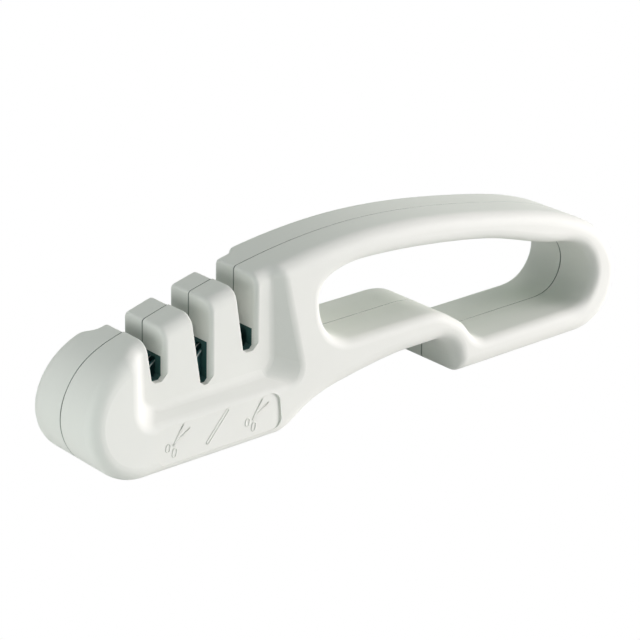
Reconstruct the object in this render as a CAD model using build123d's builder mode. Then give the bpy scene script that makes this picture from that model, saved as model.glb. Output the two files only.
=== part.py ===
"""Pull-through sharpener for knives and scissors, modelled as its separate pieces, in millimetres.

X runs along the length with the nose at -X, -Y is the front face with the pictogram panel, and Z is
up. The origin is at the bottom centre: z = 0 is the surface it rests on and y = 0 the parting plane.
"""
import math
import os

from build123d import *

os.makedirs("parts", exist_ok=True)

# Body
head_length = 80.4
loop_length = 109.0
end_bar_thickness = 10.6
height = 51.4
base_width = 33.6
side_draft = 5.1
edge_radius = 4.2
loop_edge_radius = 3.0
seam_width = 0.18
seam_depth = 0.6
overrun = 6.0

# Handle loop, neck and the arch below it
top_rail_thickness = 8.0
lower_rail_thickness = 8.2
neck_thickness = 9.6
notch_corner_radius = 1.6

# Sharpening slots and the teeth between them
first_slot_offset = 25.0
slot_pitch = 15.65
slot_width = 5.0
left_wall_lean = 7.4
right_wall_lean = 1.7
left_floor_z = 24.7
knife_floor_z = 19.7
right_floor_z = 25.4
front_tooth_depth = 10.35
rear_tooth_depth = 8.8
front_top_radius = 3.6
rear_top_radius = 2.0
front_left_rim = 0.45
front_right_rim = 1.4
rear_rim = 1.0
slot_floor_bevel = 0.9

# Recess round the teeth
recess_floor_z = 17.5
recess_left_margin = 3.1
recess_right_margin = 5.5
recess_left_slope = 0.9
front_right_slope = 1.6
rear_right_slope = 0.8
recess_ledge_slope = 0.65
recess_corner_radius = 5.0
recess_floor_radius = 3.0

# Pictogram panel
panel_length = 42.8
panel_height = 10.7
panel_bottom_z = 2.8
panel_depth = 0.5
panel_corner_radius = 3.0
panel_shift = 0.95

# Roller carrier with its axles, discs and spacers
front_bay_depth = 8.5
rear_bay_depth = 7.5
bay_headroom = 1.8
bay_footroom = 1.5
bay_end_room = 5.1
carrier_inner_width = 12.0
carrier_end_wall = 1.5
carrier_top = 1.2
axle_z = 21.2
axle_radius = 1.5
axle_chamfer = 0.3
disc_thickness = 1.1
disc_gap = 0.3
disc_overlap = 0.85
disc_bevel = 0.25
axial_play = 0.1
running_clearance = 0.06
spacer_radius = 5.5

# Screws and pegs
screw_radius = 1.3
screw_head_radius = 2.4
screw_head_height = 1.6
screw_head_y = 6.0
nose_screw_inset = 8.46
neck_screw_inset = 4.36
tail_screw_inset = 5.695
screw_grip = 9.0
screw_hole_clearance = 0.25
screw_recess_clearance = 0.3
drive_slot_width = 0.7
drive_slot_depth = 0.8
peg_radius = 1.3
peg_length = 3.0
peg_clearance = 0.1
peg_chamfer = 0.4

# Shares of the whole length and of the height that the crown's outline passes, tail to nose
crown_shares = (
    (0.91, 0.0), (0.972, 0.094), (1.0, 0.34), (0.978, 0.56), (0.91, 0.732), (0.77, 0.879),
    (0.5, 1.0), (0.3, 0.92), (0.11, 0.733), (0.04, 0.62), (0.0, 0.34), (0.024, 0.092), (0.08, 0.0),
)
# Shares of the whole length and of the arch's height under the neck
neck_under_shares = ((0.31, 0.0), (0.3605, 0.36), (0.456, 0.81), (0.57, 1.0))
# Shares of the loop window's length and height, from its lower rail round to the neck
window_shares = (
    (0.886, 0.0), (0.962, 0.06), (1.0, 0.293), (0.955, 0.548), (0.851, 0.648), (0.66, 0.8125),
    (0.474, 0.92), (0.19, 1.0), (0.073, 0.974), (0.009, 0.858), (0.0, 0.724), (0.021, 0.491),
)
neck_flat_shares = (0.097, 0.352)
# Share of the loop's length where the notch's wall stands, share of the height that the arch
# takes, and share of the arch's height that its round corner takes
notch_share = 0.4606
arch_share = 0.2296
arch_round_share = 0.6
hump_shares = ((0.4257, 0.332), (0.4697, 0.25), (0.501, 0.173), (0.5266, 0.068), (0.574, 0.0))
# Shares of the height where the screws stand, nose to tail, and of the loop's length where the
# third stands in the lower rail
screw_height_shares = (0.33, 0.31, 0.113, 0.34)
rail_screw_share = 0.524
# Shares of the loop's length and of the height where the pegs stand
peg_shares = ((0.42, 0.887), (0.73, 0.08))

# Places worked out from the sizes
total_length = head_length + loop_length + end_bar_thickness
nose_x = -total_length / 2
tail_x = total_length / 2
loop_left_x = nose_x + head_length
notch_x = loop_left_x + notch_share * loop_length
arch_height = arch_share * height
arch_radius = arch_round_share * arch_height
window_height = height - top_rail_thickness - lower_rail_thickness
half_width = base_width / 2
neck_top_z = arch_height + neck_thickness
slot_centres = [nose_x + first_slot_offset + slot_pitch * i for i in range(3)]
slot_floors = (left_floor_z, knife_floor_z, right_floor_z)
axle_centres = [(slot_centres[i] + slot_centres[i + 1]) / 2 for i in range(2)]
disc_radius = (slot_pitch + disc_overlap) / 2
disc_step = 2 * (disc_thickness + disc_gap)
bay_top_z = axle_z + disc_radius + bay_headroom
bay_bottom_z = axle_z - disc_radius - bay_footroom
carrier_half = carrier_inner_width / 2
bay_left_x = slot_centres[0] - slot_width / 2 - bay_end_room
bay_right_x = slot_centres[-1] + slot_width / 2 + bay_end_room
bay_length = bay_right_x - bay_left_x
bay_height = bay_top_z - bay_bottom_z
bay_middle = ((bay_left_x + bay_right_x) / 2, (bay_bottom_z + bay_top_z) / 2)
disc_places = [(i - 3.5) * disc_step / 2 for i in range(8)]
screw_line = (nose_x + nose_screw_inset, loop_left_x - neck_screw_inset,
              loop_left_x + rail_screw_share * loop_length, tail_x - tail_screw_inset)
screw_places = [(x, share * height) for x, share in zip(screw_line, screw_height_shares)]
peg_places = [(loop_left_x + along * loop_length, up * height) for along, up in peg_shares]
front_face = Plane(
    origin=(0, -half_width, 0),
    x_dir=(1, 0, 0),
    z_dir=(0, -math.cos(math.radians(side_draft)), math.sin(math.radians(side_draft))),
)


def body_points(shares, rise):
    """Points of the body's outline from shares of its length and of a rise."""
    return [(nose_x + along * total_length, up * rise) for along, up in shares]


def window_points(shares):
    """Points of the loop's window from shares of its length and height."""
    return [(loop_left_x + along * loop_length, lower_rail_thickness + up * window_height)
            for along, up in shares]


def smooth(*points):
    """Even curve through the points that starts and ends along X."""
    Spline(*points, tangents=[(1, 0), (1, 0)], tangent_scalars=[1, 1])


def body_outline():
    """Side outline of the body: base, underside of the neck, arch, handle bottom and crown."""
    crown = body_points(crown_shares, height)
    under = body_points(neck_under_shares, arch_height)
    arch_start = (notch_x - arch_radius, arch_height)
    arch_end = (notch_x, arch_height - arch_radius)
    with BuildLine() as wire:
        Line(crown[-1], under[0])
        smooth(*under)
        Line(under[-1], arch_start)
        RadiusArc(arch_start, arch_end, arch_radius)
        Line(arch_end, (notch_x, 0))
        Line((notch_x, 0), crown[0])
        smooth(*crown)
    return wire.line


def window_outline():
    """Outline of the handle loop's window: lower rail, end, top rail, neck and hump."""
    window = window_points(window_shares)
    hump = window_points(hump_shares)
    neck_left, neck_right = [(loop_left_x + share * loop_length, neck_top_z)
                             for share in neck_flat_shares]
    with BuildLine() as wire:
        Line(hump[-1], window[0])
        smooth(*window, neck_left)
        Line(neck_left, neck_right)
        smooth(neck_right, *hump)
    return wire.line


def recess_tool(tooth_depth, right_slope):
    """Flaring block that clears the recess in front of the teeth."""
    left = slot_centres[0] - slot_width / 2 - recess_left_margin
    right = slot_centres[-1] + slot_width / 2 + recess_right_margin
    with BuildPart() as tool:
        for reach in (0, half_width + overrun - tooth_depth):
            with BuildSketch(Plane.XZ.offset(tooth_depth + reach)):
                x_min = left - reach * recess_left_slope
                x_max = right + reach * right_slope
                z_min = recess_floor_z - reach * recess_ledge_slope
                with BuildLine():
                    Polyline((x_min, height + overrun), (x_min, z_min), (x_max, z_min),
                             (x_max, height + overrun), close=True)
                make_face()
                fillet(vertices().group_by(Axis.Y)[0], radius=recess_corner_radius)
        loft()
        floor = faces().filter_by(Plane.XZ).sort_by(Axis.Y)[-1]
        fillet(floor.edges().group_by(Axis.Z)[:-1], radius=recess_floor_radius)
    return tool.part


def slot_wall_x(centre, side, z):
    """X of a slot's wall at height z, for the left wall (side -1) or the right wall (side 1)."""
    lean = left_wall_lean if side < 0 else right_wall_lean
    return centre + side * (slot_width / 2 + (z - bay_top_z) * math.tan(math.radians(lean)))


def draw_slots(growth=0):
    """Outlines of the three V slots in the sketch at hand, walls and floor moved out by growth."""
    for centre, floor_z in zip(slot_centres, slot_floors):
        corners = ((-1, floor_z - growth), (1, floor_z - growth),
                   (1, height + overrun), (-1, height + overrun))
        points = [(slot_wall_x(centre, side, z) + side * growth, z) for side, z in corners]
        Polygon(*points, align=None)
    chamfer(vertices().filter_by(lambda vertex: vertex.Y < bay_top_z), length=slot_floor_bevel)


def slot_tools():
    """Blocks that cut the three V slots through the front half."""
    with BuildPart() as tools:
        with BuildSketch(Plane.XZ):
            draw_slots()
        extrude(amount=half_width + overrun)
    return tools.part


def seam_tools():
    """Thin wedges round the slots that open the parting line on their walls."""
    with BuildPart() as tools:
        with BuildSketch(Plane.XZ) as mouths:
            draw_slots(seam_depth)
        with BuildSketch(Plane.XZ.offset(seam_width)) as ends:
            draw_slots()
        for mouth, end in zip(mouths.sketch.faces().sort_by(Axis.X), ends.sketch.faces().sort_by(Axis.X)):
            loft([mouth, end])
    return tools.part


def flat_front(solid):
    """The flat front face that leans back with the side draft."""
    return solid.faces().filter_by(GeomType.PLANE).sort_by(Axis.Y)[0]


def wall_rims(rims, side):
    """The rims that run up the slots' left walls (side -1) or right walls (side 1)."""
    chosen = []
    for centre, floor_z in zip(slot_centres, slot_floors):
        for rim in rims:
            place = rim.center()
            on_wall = abs(place.X - slot_wall_x(centre, side, place.Z)) < seam_width
            if on_wall and place.Z > floor_z + slot_floor_bevel:
                chosen.append(rim)
    return chosen


def half_form(tooth_depth, top_radius, left_rim, right_rim, right_slope, bay_depth):
    """Half of the body in front of the parting plane, with its loop, recess, slots and bay."""
    with BuildPart() as form:
        with BuildSketch(Plane.XZ):
            make_face(body_outline().edges())
            make_face(window_outline().edges(), mode=Mode.SUBTRACT)
            heel = vertices().sort_by_distance((notch_x, 0, 0))[0]
            fillet(heel, radius=notch_corner_radius)
        extrude(amount=half_width + overrun)
        parting = faces().sort_by(Axis.Y)[-1]
        chamfer(parting.edges(), length=seam_depth, length2=seam_width, reference=parting)
        split(bisect_by=front_face, keep=Keep.BOTTOM)
        fillet(flat_front(form).inner_wires()[0].edges(), radius=loop_edge_radius)
        fillet(flat_front(form).outer_wire().edges(), radius=edge_radius)
        add(recess_tool(tooth_depth, right_slope), mode=Mode.SUBTRACT)
        tooth_face = faces().filter_by(Plane.XZ).sort_by(Axis.Y)[0]
        fillet(tooth_face.edges().sort_by(Axis.Z)[-1], radius=top_radius)
        add(slot_tools(), mode=Mode.SUBTRACT)
        rims = edges(Select.LAST).filter_by(Axis.Y, reverse=True)
        rims = rims.filter_by(lambda edge: edge.center().Y < -seam_width)
        left_rims = wall_rims(rims, -1)
        fillet(wall_rims(rims, 1), radius=right_rim)
        fillet(left_rims, radius=left_rim)
        add(seam_tools(), mode=Mode.SUBTRACT)
        with BuildSketch(Plane.XZ):
            with Locations(bay_middle):
                Rectangle(bay_length, bay_height)
        extrude(amount=bay_depth, mode=Mode.SUBTRACT)
    return form.part


def make_front_shell(form):
    """Front half with the pictogram panel, the screws' pilot holes and the locating pegs."""
    panel_x = (slot_centres[0] + slot_centres[-1]) / 2 + panel_shift
    with BuildPart() as shell:
        add(form)
        with BuildSketch(front_face.offset(-panel_depth)):
            with Locations((panel_x, panel_bottom_z + panel_height / 2)):
                RectangleRounded(panel_length, panel_height, panel_corner_radius)
        extrude(amount=overrun, mode=Mode.SUBTRACT)
        with BuildSketch(Plane.XZ):
            with Locations(screw_places):
                Circle(screw_radius)
        extrude(amount=screw_grip, mode=Mode.SUBTRACT)
        with BuildSketch(Plane.XZ):
            with Locations(peg_places):
                Circle(peg_radius)
        extrude(amount=-peg_length)
        chamfer(faces().sort_by(Axis.Y)[-len(peg_places):].edges(), length=peg_chamfer)
    return shell


def make_rear_shell(form):
    """Rear half with the screws' holes and head recesses and the sockets for the pegs."""
    with BuildPart() as shell:
        add(mirror(form, about=Plane.XZ, mode=Mode.PRIVATE))
        with BuildSketch(Plane.XZ):
            with Locations(screw_places):
                Circle(screw_radius + screw_hole_clearance)
        extrude(amount=-screw_head_y, mode=Mode.SUBTRACT)
        with BuildSketch(Plane.XZ.offset(-screw_head_y)):
            with Locations(screw_places):
                Circle(screw_head_radius + screw_recess_clearance)
        extrude(amount=-half_width, mode=Mode.SUBTRACT)
        with BuildSketch(Plane.XZ):
            with Locations(peg_places):
                Circle(peg_radius + peg_clearance)
        extrude(amount=-peg_length - peg_clearance, mode=Mode.SUBTRACT)
    return shell


def make_screws():
    """The screws that hold the shells together, put in from the rear, with cross-slot heads."""
    with BuildPart() as screws:
        with BuildSketch(Plane.XZ.offset(-screw_head_y)):
            with Locations(screw_places):
                Circle(screw_radius)
        extrude(amount=screw_head_y + screw_grip - axial_play)
        with BuildSketch(Plane.XZ.offset(-screw_head_y)):
            with Locations(screw_places):
                Circle(screw_head_radius)
        extrude(amount=-screw_head_height)
        with BuildSketch(Plane.XZ.offset(-screw_head_y - screw_head_height)):
            with Locations(screw_places):
                Rectangle(2 * screw_radius, drive_slot_width)
                Rectangle(drive_slot_width, 2 * screw_radius)
        extrude(amount=drive_slot_depth, mode=Mode.SUBTRACT)
    return screws


def make_carrier():
    """Box open at the bottom that lines the bay, cut by the slots and bored for the axles."""
    with BuildPart() as carrier:
        with BuildSketch(Plane.XZ.offset(-rear_bay_depth)):
            with Locations(bay_middle):
                Rectangle(bay_length, bay_height)
        extrude(amount=front_bay_depth + rear_bay_depth)
        with BuildSketch(Plane.XZ.offset(-carrier_half)):
            with Locations((bay_middle[0], bay_middle[1] - carrier_top)):
                Rectangle(bay_length - 2 * carrier_end_wall, bay_height)
        extrude(amount=2 * carrier_half, mode=Mode.SUBTRACT)
        with BuildSketch(Plane.XZ):
            draw_slots()
            with Locations([(x, axle_z) for x in axle_centres]):
                Circle(axle_radius)
        extrude(amount=front_bay_depth, both=True, mode=Mode.SUBTRACT)
    return carrier


def make_axle(x):
    """Plain pin with bevelled ends that runs through the carrier from wall to wall."""
    with BuildPart() as axle:
        with BuildSketch(Plane.XZ.offset(axial_play - rear_bay_depth)):
            with Locations((x, axle_z)):
                Circle(axle_radius)
        extrude(amount=front_bay_depth + rear_bay_depth - 2 * axial_play)
        chamfer(edges().filter_by(GeomType.CIRCLE), length=axle_chamfer)
    return axle


def make_disc(x, y):
    """Hard steel disc that turns on the axle at x, with both rims bevelled."""
    with BuildPart() as disc:
        with BuildSketch(Plane.XZ.offset(-y - disc_thickness / 2)):
            with Locations((x, axle_z)):
                Circle(disc_radius)
                Circle(axle_radius + running_clearance, mode=Mode.SUBTRACT)
        extrude(amount=disc_thickness)
        rims = edges().filter_by(GeomType.CIRCLE).group_by(SortBy.RADIUS)[-1]
        chamfer(rims, length=disc_bevel)
    return disc


def make_spacer(x, y_front, y_rear):
    """Plastic ring pressed on the axle at x between y_front and y_rear."""
    with BuildPart() as spacer:
        with BuildSketch(Plane.XZ.offset(-y_rear)):
            with Locations((x, axle_z)):
                Circle(spacer_radius)
                Circle(axle_radius, mode=Mode.SUBTRACT)
        extrude(amount=y_rear - y_front)
    return spacer


def spacer_spans(places):
    """Front and rear y of the rings that fill an axle between the walls and its discs."""
    reach = disc_thickness / 2 + axial_play
    starts = [-carrier_half] + [y + reach for y in places]
    ends = [y - reach for y in places] + [carrier_half]
    return list(zip(starts, ends))


def save(piece, name):
    """Label a finished piece and write its file."""
    piece.part.label = name
    export_step(piece.part, f"parts/{name}.step")


front_half = half_form(front_tooth_depth, front_top_radius, front_left_rim, front_right_rim,
                       front_right_slope, front_bay_depth)
rear_half = half_form(rear_tooth_depth, rear_top_radius, rear_rim, rear_rim,
                      rear_right_slope, rear_bay_depth)
save(make_front_shell(front_half), "front_shell")
save(make_rear_shell(rear_half), "rear_shell")
save(make_screws(), "shell_screws")
save(make_carrier(), "roller_carrier")
for side, x, places in (("left", axle_centres[0], disc_places[1::2]),
                        ("right", axle_centres[1], disc_places[0::2])):
    save(make_axle(x), f"{side}_axle")
    for number, y in enumerate(places, start=1):
        save(make_disc(x, y), f"{side}_disc_{number}")
    for number, span in enumerate(spacer_spans(places), start=1):
        save(make_spacer(x, *span), f"{side}_spacer_{number}")
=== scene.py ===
"""Looks of a pull-through sharpener for knives and scissors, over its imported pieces."""
import math

import bpy
from bpy.props import FloatProperty, FloatVectorProperty, PointerProperty
from mathutils import Matrix, Vector


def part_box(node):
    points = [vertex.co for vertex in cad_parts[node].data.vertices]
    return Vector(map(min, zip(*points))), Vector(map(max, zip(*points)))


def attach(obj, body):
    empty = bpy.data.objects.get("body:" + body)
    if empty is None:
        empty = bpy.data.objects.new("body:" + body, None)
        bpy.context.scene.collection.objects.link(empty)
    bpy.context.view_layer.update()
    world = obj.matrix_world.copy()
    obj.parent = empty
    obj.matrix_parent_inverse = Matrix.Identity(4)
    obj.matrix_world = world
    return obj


bl_info = {
    "name": "Pull-through sharpener",
    "version": (1, 0, 0),
    "blender": (4, 5, 0),
    "location": "View3D > Sidebar > Sharpener",
    "description": "Dresses the shells, discs and axles of a pull-through sharpener",
    "category": "Object",
}

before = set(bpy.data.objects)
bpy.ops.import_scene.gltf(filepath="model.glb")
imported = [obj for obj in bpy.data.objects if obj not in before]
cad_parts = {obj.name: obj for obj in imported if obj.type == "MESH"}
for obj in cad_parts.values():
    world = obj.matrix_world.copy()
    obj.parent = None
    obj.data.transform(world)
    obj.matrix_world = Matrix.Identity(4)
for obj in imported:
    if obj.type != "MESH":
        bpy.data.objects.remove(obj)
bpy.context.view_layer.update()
MM = 0.001

# Discs and spacer rings on each axle
DISCS = 4
SPACERS = 5

# The photograph's view: heading and elevation in degrees, distances in metres
VIEW_HEADING = -39.57
VIEW_ELEVATION = 22.06
VIEW_DISTANCE = 0.6832
VIEW_SHIFT_RIGHT = 0.0073
VIEW_SHIFT_UP = -0.019
NEAR_CLIP = 0.05

# The photograph's lens and the width of its sensor, in mm
VIEW_LENS = 129.375
SENSOR = 36.0

# The panel's floor: its place along Y at the height of the ground, in mm, and its lean
# in degrees
PANEL_FOOT_Y = -16.298
PANEL_LEAN = 5.1

# Pictograms, in mm along X and up the panel's slope: where the scissors cross, their
# tips, the two ends of each ring's run, the step to the second pair, the knife's ends
SCISSOR_CROSSING = (-73.85, 7.85)
SCISSOR_TIPS = ((-70.1, 12.9), (-68.1, 11.3))
SCISSOR_RINGS = (((-76.05, 6.95), (-75.75, 7.85)), ((-74.1, 4.95), (-73.7, 6.1)))
SCISSOR_STEP = (27.3, -0.15)
KNIFE_ENDS = ((-62.6, 5.2), (-55.1, 12.6))

# Widths of the marks and the rounding of their top edges, in widths of their line
BLADE_WIDTH = 1.7
RING_WIDTH = 4.6
KNIFE_WIDTH = 3.4
MARK_ROUNDING = 0.3

# A blade's taper: past each share of its length, the scale that its width takes
BLADE_TAPER = ((0.9, 0.25), (0.5, 0.8))

# How the melt's flow tones the plastic: its waves in a metre and its darkest shade
FLOW_WAVES = 18.0
FLOW_SHADE = 0.975

# How much a face points up where the joint line starts to take its painted highlight, and
# where it has it fully
JOINT_TURN = (0.25, 0.55)

# How far a 45 degree bevel on a disc's rim faces along the axle, and what still counts as
# bevel for the painted highlight
BEVEL_SLANT = 0.707
BEVEL_RANGE = 0.2

# How far a metal's roughness wanders to either side, and a streak's width by its length
ROUGHNESS_SPREAD = 0.08
STREAK_SHARE = 0.05

# Depth of the plastic's grain and of the discs' ground rings
BUMP_DEPTH = 0.02 * MM

# Lamps: heading from the front and height in degrees, distance and width in metres,
# power in watts, tint
LAMPS = {
    "key": (55, 5, 1.2, 0.8, 25.2, "FFF9FB"),
    "top": (0, 90, 1.2, 0.8, 4.0, "FFF7FB"),
    "rear": (150, 20, 1.2, 1.2, 4.2, "F2FFEC"),
    "nose": (-90, 5, 0.3, 0.15, 0.232, "FFFFFF"),
    "nose_front": (-60, 0, 0.3, 0.15, 0.09, "F0FFFB"),
}
WORLD_TINT = "DCFFFA"
WORLD_STRENGTH = 0.12
FLOOR_SIZE = 6.0
WHITE = (1, 1, 1, 1)

# What the lamps aim at
OBJECT_MIDDLE = Vector((0, 0, 0.025))


def linear(code):
    """Linear colour with alpha from an sRGB hex code."""
    channels = [int(code[i:i + 2], 16) / 255 for i in (0, 2, 4)]
    return [c / 12.92 if c <= 0.04045 else ((c + 0.055) / 1.055) ** 2.4
            for c in channels] + [1.0]


class SharpenerColours(bpy.types.PropertyGroup):
    """Colours of the sharpener's materials."""
    body: FloatVectorProperty(
        name="Body", description="Moulded ABS of both shells",
        subtype="COLOR", size=4, min=0, max=1, default=linear("E8E9E3"))
    # Painted shade: the joint line's dark colour stands in for the shade in the gap
    # between the shells
    joint: FloatVectorProperty(
        name="Joint", description="Shaded joint line between the shells",
        subtype="COLOR", size=4, min=0, max=1, default=linear("6E756F"))
    # Painted highlight: the joint line's pale colour on faces that point up
    joint_painted_highlight: FloatVectorProperty(
        name="Joint on top", description="Joint line on faces that point up",
        subtype="COLOR", size=4, min=0, max=1, default=linear("F8F9F4"))
    disc: FloatVectorProperty(
        name="Discs", description="Blued steel of the sharpening discs",
        subtype="COLOR", size=4, min=0, max=1, default=linear("4C7F80"))
    # Painted highlight: the bright colour of the discs' bevels stands in for the glints
    # on their edges
    rim_painted_highlight: FloatVectorProperty(
        name="Disc rims", description="Ground steel of the discs' bevels",
        subtype="COLOR", size=4, min=0, max=1, default=linear("D5DCDC"))
    carrier: FloatVectorProperty(
        name="Carrier", description="Acetal of the carrier and its rings",
        subtype="COLOR", size=4, min=0, max=1, default=linear("2F5552"))
    pin: FloatVectorProperty(
        name="Axles", description="Drawn steel of the axle pins",
        subtype="COLOR", size=4, min=0, max=1, default=linear("B9BCBD"))
    screw: FloatVectorProperty(
        name="Screws", description="Zinc plate of the screws",
        subtype="COLOR", size=4, min=0, max=1, default=linear("C4C6C8"))


class SharpenerSizes(bpy.types.PropertyGroup):
    """Sizes of the marks and patterns that dress the sharpener."""
    spark_grain: FloatProperty(
        name="Spark grain", description="Grain that the eroded mould leaves",
        unit="LENGTH", default=0.45 * MM, min=0.1 * MM, max=2 * MM)
    joint_line: FloatProperty(
        name="Joint line", description="Half width of the shells' joint line",
        unit="LENGTH", default=0.3 * MM, min=0.1 * MM, max=1 * MM)
    mark_height: FloatProperty(
        name="Mark height", description="How far the pictograms stand proud",
        unit="LENGTH", default=0.18 * MM, min=0.1 * MM, max=0.5 * MM)
    mark_line: FloatProperty(
        name="Mark line", description="Width of the pictograms' outlines",
        unit="LENGTH", default=0.35 * MM, min=0.2 * MM, max=1 * MM)
    disc_rings: FloatProperty(
        name="Grinding rings", description="Pitch of the discs' ground rings",
        unit="LENGTH", default=0.35 * MM, min=0.1 * MM, max=2 * MM)
    metal_streaks: FloatProperty(
        name="Metal streaks", description="Width of the streaks on pins and screws",
        unit="LENGTH", default=0.3 * MM, min=0.1 * MM, max=2 * MM)
    acetal_ripple: FloatProperty(
        name="Acetal ripple", description="Spots of uneven gloss on the acetal",
        unit="LENGTH", default=0.5 * MM, min=0.1 * MM, max=2 * MM)


def colours():
    """The scene's colour settings."""
    return bpy.context.scene.sharpener_colours


def sizes():
    """The scene's size settings."""
    return bpy.context.scene.sharpener_sizes


def fill(node, inputs):
    """Fill a node's inputs: a socket is linked, any other value is set."""
    for key, value in inputs.items():
        if isinstance(value, bpy.types.NodeSocket):
            node.id_data.links.new(value, node.inputs[key])
        else:
            node.inputs[key].default_value = value


def add_node(tree, kind, inputs, **settings):
    """Add a node to a node tree, make its settings and fill its inputs."""
    node = tree.nodes.new(kind)
    for key, value in settings.items():
        setattr(node, key, value)
    fill(node, inputs)
    return node


def new_material(name):
    """A new material, its node tree and its Principled shader."""
    material = bpy.data.materials.new(name)
    material.use_nodes = True
    tree = material.node_tree
    return material, tree, tree.nodes["Principled BSDF"]


def moulded_abs():
    """Injection-moulded ABS from a spark-eroded mould: satin, with a faint grain."""
    material, tree, shader = new_material("moulded_abs")
    place = add_node(tree, "ShaderNodeTexCoord", {}).outputs["Object"]
    # The real grain is about 0.05 mm, too fine to show, so it is drawn coarser
    grain = add_node(tree, "ShaderNodeTexNoise", {
        "Vector": place, "Scale": 1 / sizes().spark_grain,
        "Detail": 3.0, "Roughness": 0.6})
    bump = add_node(tree, "ShaderNodeBump", {
        "Height": grain.outputs["Fac"], "Strength": 0.12, "Distance": BUMP_DEPTH})
    flow = add_node(tree, "ShaderNodeTexNoise", {
        "Vector": place, "Scale": FLOW_WAVES, "Detail": 2.0})
    body = Vector(colours().body)
    tone = add_node(tree, "ShaderNodeMix", {
        "Factor": flow.outputs["Fac"], "A": body, "B": (*(body.xyz * FLOW_SHADE), 1.0),
    }, data_type="RGBA")
    # Painted shade and highlight: the joint is dark on upright faces, as shade in its
    # gap, and pale on top, where its edges catch light
    facing = add_node(tree, "ShaderNodeNewGeometry", {}).outputs["True Normal"]
    upward = add_node(tree, "ShaderNodeSeparateXYZ", {"Vector": facing}).outputs["Z"]
    turned_up = add_node(tree, "ShaderNodeMapRange", {
        "Value": upward, "From Min": JOINT_TURN[0], "From Max": JOINT_TURN[1]})
    joint = add_node(tree, "ShaderNodeMix", {
        "Factor": turned_up.outputs["Result"],
        "A": colours().joint, "B": colours().joint_painted_highlight}, data_type="RGBA")
    # The painted joint line runs round the body where Y is 0, evenly coloured in its
    # inner third
    across = add_node(tree, "ShaderNodeSeparateXYZ", {"Vector": place}).outputs["Y"]
    away = add_node(tree, "ShaderNodeMath", {0: across}, operation="ABSOLUTE")
    open_skin = add_node(tree, "ShaderNodeMapRange", {
        "Value": away.outputs["Value"],
        "From Min": sizes().joint_line / 3, "From Max": sizes().joint_line})
    skin = add_node(tree, "ShaderNodeMix", {
        "Factor": open_skin.outputs["Result"],
        "A": joint.outputs["Result"], "B": tone.outputs["Result"]}, data_type="RGBA")
    fill(shader, {"IOR": 1.54, "Roughness": 0.63,
                  "Base Color": skin.outputs["Result"], "Normal": bump.outputs["Normal"]})
    return material


def blued_steel(name, centre):
    """Steel blued after grinding: dark teal faces with ground rings, and a painted
    highlight on the bevels.
    """
    material, tree, shader = new_material(name)
    # Only the bevels face halfway between the axle's line and the rim; they get a painted
    # highlight for the glints on the discs' edges
    facing = add_node(tree, "ShaderNodeNewGeometry", {}).outputs["True Normal"]
    along = add_node(tree, "ShaderNodeSeparateXYZ", {"Vector": facing}).outputs["Y"]
    slant = add_node(tree, "ShaderNodeMath", {0: along}, operation="ABSOLUTE")
    bevel = add_node(tree, "ShaderNodeMath", {
        0: slant.outputs["Value"], 1: BEVEL_SLANT, 2: BEVEL_RANGE}, operation="COMPARE")
    tone = add_node(tree, "ShaderNodeMix", {
        "Factor": bevel.outputs["Value"], "A": colours().disc, "B": colours().rim_painted_highlight,
    }, data_type="RGBA")
    # Grinding leaves rings round the axle, which are finer than they are drawn here
    place = add_node(tree, "ShaderNodeTexCoord", {}).outputs["Object"]
    from_axle = add_node(tree, "ShaderNodeMapping", {
        "Vector": place, "Location": (-centre.x, 0, -centre.z), "Scale": (1, 0, 1)})
    radius = add_node(tree, "ShaderNodeVectorMath", {
        "Vector": from_axle.outputs["Vector"]}, operation="LENGTH")
    rings = add_node(tree, "ShaderNodeMath", {
        0: radius.outputs["Value"], 1: 1 / sizes().disc_rings}, operation="MULTIPLY")
    wave = add_node(tree, "ShaderNodeTexNoise", {
        "W": rings.outputs["Value"], "Scale": 1.0, "Detail": 2.0,
    }, noise_dimensions="1D")
    bump = add_node(tree, "ShaderNodeBump", {
        "Height": wave.outputs["Fac"], "Strength": 0.3, "Distance": BUMP_DEPTH})
    fill(shader, {"Metallic": 0.6, "Roughness": 0.4,
                  "Base Color": tone.outputs["Result"], "Normal": bump.outputs["Normal"]})
    return material


def uneven_gloss(tree, vector, scale, low, high):
    """A roughness that wanders between two values, as a real surface's polish does."""
    noise = add_node(tree, "ShaderNodeTexNoise", {
        "Vector": vector, "Scale": scale, "Detail": 2.0})
    spread = add_node(tree, "ShaderNodeMapRange", {
        "Value": noise.outputs["Fac"], "To Min": low, "To Max": high})
    return spread.outputs["Result"]


def plain_metal(name, colour, roughness):
    """Drawn or plated steel: bright, with streaks along Y from drawing or turning."""
    material, tree, shader = new_material(name)
    place = add_node(tree, "ShaderNodeTexCoord", {}).outputs["Object"]
    # The real streaks are a few hundredths of a mm wide, so they are drawn coarser
    streak = sizes().metal_streaks
    along = add_node(tree, "ShaderNodeMapping", {
        "Vector": place, "Scale": (1 / streak, STREAK_SHARE / streak, 1 / streak)})
    gloss = uneven_gloss(tree, along.outputs["Vector"], 1.0,
                         roughness - ROUGHNESS_SPREAD, roughness + ROUGHNESS_SPREAD)
    fill(shader, {"Metallic": 1.0, "Base Color": colour, "Roughness": gloss})
    return material


def moulded_acetal():
    """Moulded acetal of the carrier and its rings: dark green and slightly waxy."""
    material, tree, shader = new_material("moulded_acetal")
    place = add_node(tree, "ShaderNodeTexCoord", {}).outputs["Object"]
    gloss = uneven_gloss(tree, place, 1 / sizes().acetal_ripple, low=0.4, high=0.55)
    fill(shader, {"IOR": 1.48, "Base Color": colours().carrier, "Roughness": gloss})
    return material


def dress(names, material):
    """Give every named CAD node the material."""
    for name in names:
        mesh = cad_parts[name].data
        mesh.materials.clear()
        mesh.materials.append(material)


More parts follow.
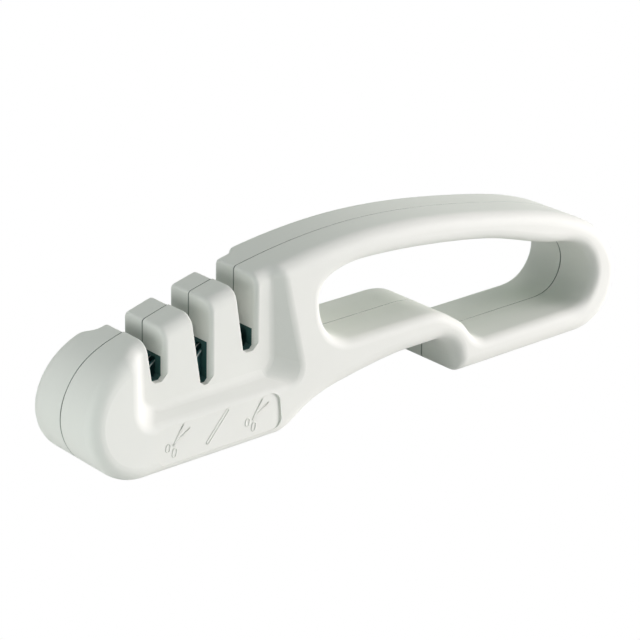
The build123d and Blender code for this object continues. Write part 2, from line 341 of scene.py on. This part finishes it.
class SHARPENER_OT_shells(bpy.types.Operator):
    """Finish both body shells and their screws"""
    bl_idname = "sharpener.shells"
    bl_label = "Finish the shells"

    def execute(self, context):
        dress(["front_shell", "rear_shell"], moulded_abs())
        dress(["shell_screws"], plain_metal("zinc_plated_steel", colours().screw, 0.35))
        return {"FINISHED"}


def panel_point(point):
    """A place given in mm on the panel, in metres."""
    return Vector((*point, 0)) * MM


def select_points(piece, wanted):
    """Select the vertices of a mesh that pass the test, and nothing else."""
    for part in (*piece.data.edges, *piece.data.polygons):
        part.select = False
    for vertex in piece.data.vertices:
        vertex.select = wanted(vertex.co)


def select_edges(piece, wanted):
    """Select the edges of a mesh whose ends both pass the test, and nothing else."""
    points = piece.data.vertices
    for part in (*points, *piece.data.polygons):
        part.select = False
    for edge in piece.data.edges:
        edge.select = all(wanted(points[i].co) for i in edge.vertices)


def raise_mark(piece, start, run):
    """Raise a flat mark, round its top edges and set it at its start, along its run."""
    height = sizes().mark_height
    bpy.ops.object.mode_set(mode="EDIT")
    bpy.ops.mesh.select_all(action="SELECT")
    bpy.ops.mesh.extrude_region_move(TRANSFORM_OT_translate={"value": (0, 0, height)})
    bpy.ops.mesh.select_all(action="SELECT")
    bpy.ops.mesh.normals_make_consistent(inside=False)
    bpy.ops.object.mode_set(mode="OBJECT")
    select_edges(piece, lambda place: place.z > height / 2)
    bpy.ops.object.mode_set(mode="EDIT")
    bpy.ops.mesh.bevel(offset=sizes().mark_line * MARK_ROUNDING, segments=2,
                       affect="EDGES")
    bpy.ops.object.mode_set(mode="OBJECT")
    piece.rotation_euler = (0, 0, math.atan2(run.y, run.x))
    piece.location = start
    bpy.ops.object.transform_apply(location=True, rotation=True, scale=True)
    return piece


def ring_mark(start, end, width):
    """A raised outline with round ends, from start to end: an eye or a long bar."""
    run = end - start
    bpy.ops.object.select_all(action="DESELECT")
    bpy.ops.mesh.primitive_circle_add(vertices=32, radius=width / 2, fill_type="NGON")
    piece = bpy.context.object
    bpy.ops.object.mode_set(mode="EDIT")
    bpy.ops.mesh.select_all(action="SELECT")
    bpy.ops.mesh.inset(thickness=sizes().mark_line)
    bpy.ops.mesh.delete(type="FACE")
    bpy.ops.object.mode_set(mode="OBJECT")
    select_points(piece, lambda place: place.x > 0)
    bpy.ops.object.mode_set(mode="EDIT")
    bpy.ops.transform.translate(value=(run.length, 0, 0))
    bpy.ops.object.mode_set(mode="OBJECT")
    return raise_mark(piece, start, run)


def blade_mark(start, end, width):
    """A raised scissor blade that narrows from start to its tip at end."""
    run = end - start
    bpy.ops.object.select_all(action="DESELECT")
    bpy.ops.mesh.primitive_plane_add(size=1)
    piece = bpy.context.object
    bpy.ops.object.mode_set(mode="EDIT")
    bpy.ops.transform.resize(value=(run.length, width, 1))
    bpy.ops.transform.translate(value=(run.length / 2, 0, 0))
    bpy.ops.mesh.subdivide(number_cuts=2)
    bpy.ops.object.mode_set(mode="OBJECT")
    for share, narrow in BLADE_TAPER:
        select_points(piece, lambda place: place.x / run.length > share)
        bpy.ops.object.mode_set(mode="EDIT")
        bpy.ops.transform.resize(value=(1, narrow, 1), center_override=(0, 0, 0))
        bpy.ops.object.mode_set(mode="OBJECT")
    return raise_mark(piece, start, run)


def set_on_panel(name, parts, plastic):
    """Join the parts of a mark, stand it on the panel's slope and finish it."""
    bpy.ops.object.select_all(action="DESELECT")
    for part in parts:
        part.select_set(True)
    bpy.context.view_layer.objects.active = parts[0]
    bpy.ops.object.join()
    piece = bpy.context.object
    piece.name = name
    piece.location = (0, PANEL_FOOT_Y * MM, 0)
    piece.rotation_euler = (math.radians(90 - PANEL_LEAN), 0, 0)
    bpy.ops.object.transform_apply(location=True, rotation=True, scale=True)
    piece.data.materials.clear()
    piece.data.materials.append(plastic)
    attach(piece, "body")


class SHARPENER_OT_pictograms(bpy.types.Operator):
    """Mould the scissors and knife marks on the panel"""
    bl_idname = "sharpener.pictograms"
    bl_label = "Mould the pictograms"

    def execute(self, context):
        line = sizes().mark_line
        plastic = bpy.data.materials["moulded_abs"]
        for side, step in (("left", (0, 0)), ("right", SCISSOR_STEP)):
            move = panel_point(step)
            crossing = panel_point(SCISSOR_CROSSING) + move
            parts = []
            for tip, ring in zip(SCISSOR_TIPS, SCISSOR_RINGS):
                end = panel_point(tip) + move
                start = crossing - (end - crossing).normalized() * line
                parts.append(blade_mark(start, end, BLADE_WIDTH * line))
                eye = [panel_point(point) + move for point in ring]
                parts.append(ring_mark(*eye, RING_WIDTH * line))
            set_on_panel(f"scissors_mark_{side}", parts, plastic)
        ends = [panel_point(point) for point in KNIFE_ENDS]
        set_on_panel("knife_mark", [ring_mark(*ends, KNIFE_WIDTH * line)], plastic)
        return {"FINISHED"}


class SHARPENER_OT_rollers(bpy.types.Operator):
    """Finish the carrier, the discs, the axles and the spacer rings"""
    bl_idname = "sharpener.rollers"
    bl_label = "Finish the rollers"

    def execute(self, context):
        acetal = moulded_acetal()
        dress(["roller_carrier"], acetal)
        pin = plain_metal("drawn_steel", colours().pin, 0.3)
        for side in ("left", "right"):
            low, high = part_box(f"{side}_axle")
            steel = blued_steel(f"blued_steel_{side}", (low + high) / 2)
            dress([f"{side}_disc_{n}" for n in range(1, DISCS + 1)], steel)
            dress([f"{side}_spacer_{n}" for n in range(1, SPACERS + 1)], acetal)
            dress([f"{side}_axle"], pin)
        return {"FINISHED"}


class SHARPENER_OT_stage(bpy.types.Operator):
    """Set the floor, the lights, the world and the camera"""
    bl_idname = "sharpener.stage"
    bl_label = "Set the stage"

    def execute(self, context):
        context.scene.view_settings.view_transform = "Standard"
        bpy.ops.object.select_all(action="DESELECT")
        bpy.ops.mesh.primitive_plane_add(size=FLOOR_SIZE)
        floor = context.object
        floor.name = "floor"
        floor.data.materials.append(white_floor())
        set_world(context)
        for name, settings in LAMPS.items():
            add_lamp(context, name, *settings)
        add_camera(context)
        return {"FINISHED"}


def white_floor():
    """Matt studio floor, white to cameras and mirrors, with the object's shadow."""
    material, tree, shader = new_material("studio_floor")
    fill(shader, {"Base Color": linear("EDEDEC"), "Roughness": 0.9})
    glow = add_node(tree, "ShaderNodeEmission", {"Color": WHITE, "Strength": 1.0})
    ray = add_node(tree, "ShaderNodeLightPath", {})
    seen = add_node(tree, "ShaderNodeMath", {
        0: ray.outputs["Is Camera Ray"], 1: ray.outputs["Is Glossy Ray"],
    }, operation="MAXIMUM")
    through = add_node(tree, "ShaderNodeMath", {
        0: seen.outputs["Value"], 1: ray.outputs["Is Transmission Ray"],
    }, operation="MAXIMUM")
    mix = add_node(tree, "ShaderNodeMixShader", {
        0: through.outputs["Value"], 1: shader.outputs["BSDF"],
        2: glow.outputs["Emission"]})
    fill(tree.nodes["Material Output"], {"Surface": mix.outputs["Shader"]})
    return material


def set_world(context):
    """Even pale surroundings, white where the camera sees them."""
    world = bpy.data.worlds.new("studio")
    context.scene.world = world
    world.use_nodes = True
    tree = world.node_tree
    back = tree.nodes["Background"]
    fill(back, {"Color": linear(WORLD_TINT), "Strength": WORLD_STRENGTH})
    white = add_node(tree, "ShaderNodeBackground", {"Color": WHITE})
    ray = add_node(tree, "ShaderNodeLightPath", {})
    mix = add_node(tree, "ShaderNodeMixShader", {
        0: ray.outputs["Is Camera Ray"], 1: back.outputs["Background"],
        2: white.outputs["Background"]})
    fill(tree.nodes["World Output"], {"Surface": mix.outputs["Shader"]})


def add_lamp(context, name, heading, height, distance, width, power, tint):
    """A square soft lamp aimed at the object, which the camera doesn't see."""
    lamp = bpy.data.lights.new(name, "AREA")
    lamp.color = linear(tint)[:3]
    lamp.size = width
    lamp.energy = power
    holder = bpy.data.objects.new(name, lamp)
    context.scene.collection.objects.link(holder)
    turn = Matrix.Rotation(math.radians(heading), 3, "Z")
    tilt = Matrix.Rotation(math.radians(90 - height), 3, "X")
    holder.rotation_euler = (turn @ tilt).to_euler()
    holder.location = turn @ tilt @ Vector((0, 0, distance)) + OBJECT_MIDDLE
    holder.visible_camera = False


def add_camera(context):
    """Camera at the photograph's angle and distance."""
    camera = bpy.data.cameras.new("camera")
    camera.lens = VIEW_LENS
    camera.sensor_width = SENSOR
    camera.clip_start = NEAR_CLIP
    holder = bpy.data.objects.new("camera", camera)
    context.scene.collection.objects.link(holder)
    tilt = Matrix.Rotation(math.radians(90 - VIEW_ELEVATION), 3, "X")
    turn = Matrix.Rotation(math.radians(VIEW_HEADING), 3, "Z") @ tilt
    offset = Vector((-VIEW_SHIFT_RIGHT, -VIEW_SHIFT_UP, VIEW_DISTANCE))
    holder.location = turn @ offset
    holder.rotation_euler = turn.to_euler()
    context.scene.camera = holder


class SHARPENER_PT_panel(bpy.types.Panel):
    """Sidebar panel with the sharpener's operators and settings"""
    bl_idname = "SHARPENER_PT_panel"
    bl_label = "Sharpener"
    bl_space_type = "VIEW_3D"
    bl_region_type = "UI"
    bl_category = "Sharpener"

    def draw(self, context):
        for operator in OPERATORS:
            self.layout.operator(operator.bl_idname)
        for group in (colours(), sizes()):
            for key in group.__annotations__:
                self.layout.prop(group, key)


OPERATORS = (SHARPENER_OT_shells, SHARPENER_OT_pictograms, SHARPENER_OT_rollers,
             SHARPENER_OT_stage)
CLASSES = (SharpenerColours, SharpenerSizes, *OPERATORS, SHARPENER_PT_panel)


def register():
    """Register the add-on's classes and settings."""
    for cls in CLASSES:
        bpy.utils.register_class(cls)
    bpy.types.Scene.sharpener_colours = PointerProperty(type=SharpenerColours)
    bpy.types.Scene.sharpener_sizes = PointerProperty(type=SharpenerSizes)


def unregister():
    """Take the add-on's classes and settings away."""
    del bpy.types.Scene.sharpener_sizes
    del bpy.types.Scene.sharpener_colours
    for cls in reversed(CLASSES):
        bpy.utils.unregister_class(cls)


def main():
    """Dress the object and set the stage."""
    register()
    bpy.ops.sharpener.shells()
    bpy.ops.sharpener.pictograms()
    bpy.ops.sharpener.rollers()
    bpy.ops.sharpener.stage()


if __name__ == "__main__":
    main()
